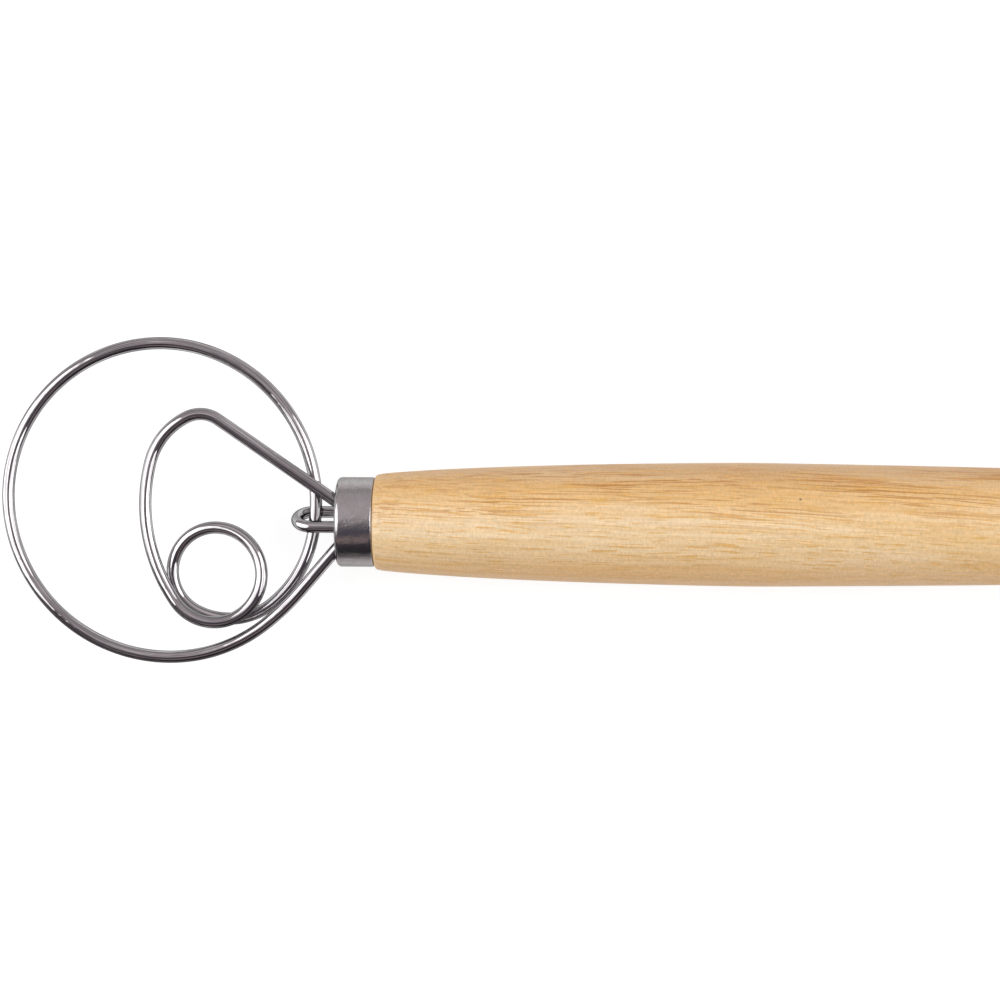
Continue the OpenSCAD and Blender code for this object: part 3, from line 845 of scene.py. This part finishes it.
glow = paper.add("ShaderNodeEmission", {"Color": (1, 1, 1, 1), "Strength": glow_level})
bright = paper.add("ShaderNodeAddShader", {0: soft.outputs[0], 1: glow.outputs[0]})
ray = paper.add("ShaderNodeLightPath").outputs
seen = paper.math("MAXIMUM", ray["Is Camera Ray"], ray["Is Glossy Ray"])
seen = paper.math("MAXIMUM", seen, ray["Is Transmission Ray"])
shown = paper.add("ShaderNodeMixShader", {0: seen, 1: plain.outputs[0], 2: bright.outputs[0]})
paper.join(shown.outputs[0], output.inputs["Surface"])
floor.data.materials.append(paper.material)
floor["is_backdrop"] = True
print("the floor lies", round(-FLOOR_Z / MM, 1), "mm below the handle's axis")

# %% Arch of dim cloth
ARCH_R, ARCH_HALF, ARCH_STEPS, ARCH_LIFT = 2.4, 8.0, 48, 0.02
CLOTH_TO_WOOD = (0.40, 0.40, 0.40, 1)
arch_corners, arch_faces = [], []
for i in range(ARCH_STEPS + 1):
    a = math.pi * i / ARCH_STEPS
    for x in (-ARCH_HALF, ARCH_HALF):
        arch_corners.append((x, ARCH_R * math.cos(a), ARCH_R * math.sin(a)))
for i in range(ARCH_STEPS):
    arch_faces.append((2 * i, 2 * i + 1, 2 * i + 3, 2 * i + 2))
arch_mesh = bpy.data.meshes.new("cloth_arch")
arch_mesh.from_pydata(arch_corners, [], arch_faces)
arch = bpy.data.objects.new("cloth_arch", arch_mesh)
arch.location = (SET_MIDDLE, 0, FLOOR_Z + ARCH_LIFT)
bpy.context.scene.collection.objects.link(arch)

cloth = Finish("dim_cloth")
cloth.tree.nodes.remove(cloth.shader)
cloth_here = cloth.add("ShaderNodeTexCoord").outputs["Object"]
place = cloth.add("ShaderNodeSeparateXYZ", {0: cloth_here})
round_place = cloth.math("ARCTAN2", place.outputs["Z"], place.outputs["Y"])
round_place = cloth.math("DIVIDE", round_place, math.pi)
slant = cloth.ramp(place.outputs["X"], -0.906, 0.294, -0.04, 0.04)
round_place = cloth.math("ADD", round_place, slant)
tones = cloth.add("ShaderNodeValToRGB", {"Fac": round_place})
CLOTH_TONES = [
    (0.000, (0.50, 0.46, 0.465)),
    (0.035, (0.53, 0.485, 0.49)),
    (0.060, (0.66, 0.60, 0.61)),
    (0.200, (0.71, 0.645, 0.66)),
    (0.340, (0.74, 0.67, 0.685)),
    (0.410, (0.68, 0.61, 0.625)),
    (0.465, (0.59, 0.525, 0.54)),
    (0.505, (0.45, 0.395, 0.405)),
    (0.535, (0.32, 0.275, 0.285)),
    (0.565, (0.20, 0.175, 0.20)),
    (0.600, (0.118, 0.107, 0.140)),
    (0.695, (0.103, 0.094, 0.123)),
    (0.730, (0.38, 0.295, 0.285)),
    (0.790, (0.34, 0.26, 0.25)),
    (0.820, (0.062, 0.055, 0.066)),
    (0.900, (0.052, 0.048, 0.056)),
    (1.000, (0.018, 0.017, 0.021)),
]
stops = tones.color_ramp.elements
while len(stops) < len(CLOTH_TONES):
    stops.new(0.5)
for stop, (at, tone) in zip(stops, CLOTH_TONES):
    stop.position = at
    stop.color = (*tone, 1)
soft_ray = cloth.add("ShaderNodeLightPath").outputs["Is Diffuse Ray"]
cloth_tone = cloth.blend(soft_ray, tones.outputs["Color"], CLOTH_TO_WOOD)
cloth_glow = cloth.add("ShaderNodeEmission", {"Color": cloth_tone})
cloth.join(cloth_glow.outputs[0], cloth.tree.nodes["Material Output"].inputs["Surface"])
arch.data.materials.append(cloth.material)
arch.visible_camera = False
arch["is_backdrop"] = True
print("the arch stands", ARCH_R, "m away and has", len(CLOTH_TONES), "tones")

# %% [markdown]
# Steel on a white floor has pale outlines, and they get lost against the background. So two
# strips of dim cloth lie on the floor, behind and in front. They are hidden from the camera, give
# no light to the wood and the floor, and only show in the metal, where they darken the outlines.
# In front of the head the strip is darker than in front of the ferrule.

# %% Strips of cloth on the floor, hidden from the camera
STRIP_START_FRONT, STRIP_START_BACK, STRIP_END = 0.032, 0.055, 2.3
STRIP_HALF, STRIP_LIFT = 1.5, 0.0005
STRIP_TONE = (1.0, 0.92, 0.93, 1)

strips = []
for name, side, start in (
    ("front_apron", -1, STRIP_START_FRONT), ("back_apron", 1, STRIP_START_BACK)
):
    near, far = side * start, side * STRIP_END
    left, right = SET_MIDDLE - STRIP_HALF, SET_MIDDLE + STRIP_HALF
    height = FLOOR_Z + STRIP_LIFT
    strips.append(flat_panel(name, [
        (left, near, height), (right, near, height), (right, far, height), (left, far, height),
    ]))

apron = Finish("graded_cloth")
apron.tree.nodes.remove(apron.shader)
apron_here = apron.add("ShaderNodeTexCoord").outputs["Object"]
on_floor = apron.add("ShaderNodeSeparateXYZ", {0: apron_here}).outputs
front_level = apron.ramp(on_floor["Y"], -0.032, -0.095, 1.0, 0.26)
by_the_head = apron.ramp(on_floor["X"], -0.275, -0.252, 0.45, 1.0)
front_level = apron.math("MULTIPLY", front_level, by_the_head)
back_level = apron.ramp(on_floor["Y"], 0.110, 0.240, 0.95, 0.50)
behind = apron.math("GREATER_THAN", on_floor["Y"], 0)
apron_level = apron.add("ShaderNodeMix", {0: behind, 2: front_level, 3: back_level}).outputs[0]
apron_glow = apron.add("ShaderNodeEmission", {"Color": STRIP_TONE, "Strength": apron_level})
apron.join(apron_glow.outputs[0], apron.tree.nodes["Material Output"].inputs["Surface"])
for strip in strips:
    strip.data.materials.append(apron.material)
    strip.visible_camera = False
    strip.visible_diffuse = False
    strip.visible_shadow = False
    strip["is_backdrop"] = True
print(len(strips), "strips lie on the floor")

# %% Two soft lights
LIGHT_LEVEL = 2.42
LEFT_LIGHT_AT, RIGHT_LIGHT_AT = 172, 6


def soft_light(name, round_set):
    """A big oval lamp, turned some degrees round the set from +X and tilted down."""
    width, height, away, up = 1.6, 2.05, 1.5, 36
    data = bpy.data.lights.new(name, "AREA")
    data.shape = "ELLIPSE"
    data.size, data.size_y = width, height
    data.energy = LIGHT_LEVEL * math.pi * width * height * math.pi / 4
    made = bpy.data.objects.new(name, data)
    tilt = math.radians(up)
    flat = direction(round_set) * math.cos(tilt)
    towards = Vector((flat.x, flat.y, math.sin(tilt)))
    made.location = Vector((SET_MIDDLE, 0, 0)) + away * towards
    made.rotation_mode = "QUATERNION"
    made.rotation_quaternion = towards.to_track_quat("Z", "Y")
    made.visible_camera = False
    bpy.context.scene.collection.objects.link(made)
    return made


for name, round_set in (("left_light", LEFT_LIGHT_AT), ("right_light", RIGHT_LIGHT_AT)):
    lamp = soft_light(name, round_set)
    print(name, "at", [round(v, 2) for v in lamp.location])

# %% [markdown]
# ## World and camera
# The world is plain white where the camera or a mirror sees it, and dim for everything else, so
# it whitens the background without adding light. The camera looks almost straight down, a
# little from the handle's side, as in the photograph, and is turned by less than half a degree.

# %% World
SKY_DIM, SKY_SEEN = 0.3, 1.0

world = bpy.data.worlds.new("studio")
bpy.context.scene.world = world
world.use_nodes = True
sky = world.node_tree
background = sky.nodes["Background"]
background.inputs["Color"].default_value = (1, 1, 1, 1)
rays = sky.nodes.new("ShaderNodeLightPath").outputs
either = sky.nodes.new("ShaderNodeMath")
either.operation = "MAXIMUM"
sky.links.new(rays["Is Camera Ray"], either.inputs[0])
sky.links.new(rays["Is Glossy Ray"], either.inputs[1])
any_seen = sky.nodes.new("ShaderNodeMath")
any_seen.operation = "MAXIMUM"
sky.links.new(either.outputs[0], any_seen.inputs[0])
sky.links.new(rays["Is Transmission Ray"], any_seen.inputs[1])
level = sky.nodes.new("ShaderNodeMapRange")
level.inputs["To Min"].default_value = SKY_DIM
level.inputs["To Max"].default_value = SKY_SEEN
sky.links.new(any_seen.outputs[0], level.inputs["Value"])
sky.links.new(level.outputs[0], background.inputs["Strength"])
print("the world is", SKY_SEEN, "where seen and", SKY_DIM, "for other rays")

# %% Camera
from mathutils import Matrix

AIM = Vector(in_place((36.698, 5.168, 0)))
CAMERA_AWAY, CAMERA_TILT, CAMERA_ROLL = 0.610, 2.5, 0.3894
SENSOR_WIDTH, LENS = 36, 97.32
tilt, roll = math.radians(CAMERA_TILT), math.radians(CAMERA_ROLL)
away = Vector((math.sin(tilt), 0, math.cos(tilt)))
camera_data = bpy.data.cameras.new("camera")
camera_data.sensor_width = SENSOR_WIDTH
camera_data.lens = LENS
camera = bpy.data.objects.new("camera", camera_data)
camera.location = AIM + CAMERA_AWAY * away
camera.rotation_mode = "QUATERNION"

level_right = Vector((math.cos(tilt), 0, -math.sin(tilt)))
level_up = Vector((0, 1, 0))
picture_right = level_right * math.cos(roll) + level_up * math.sin(roll)
picture_up = level_up * math.cos(roll) - level_right * math.sin(roll)
turned = Matrix((picture_right, picture_up, away)).transposed()
camera.rotation_quaternion = turned.to_quaternion()
bpy.context.scene.collection.objects.link(camera)
bpy.context.scene.camera = camera
bpy.context.scene.view_settings.view_transform = "Standard"
print("camera at", [round(v, 3) for v in camera.location])

# %% [markdown]
# ## Comparing sizes
# Dressing must not change the size of the tool. So the box round the dressed model is measured
# against the box of the imported one and the largest difference is printed. A render alone
# wouldn't show a tenth of a millimetre.

low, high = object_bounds()
differences = [abs(a - b) for a, b in zip((*cad_low, *cad_high), (*low, *high))]
print("largest difference between the boxes, in metres:", max(differences))
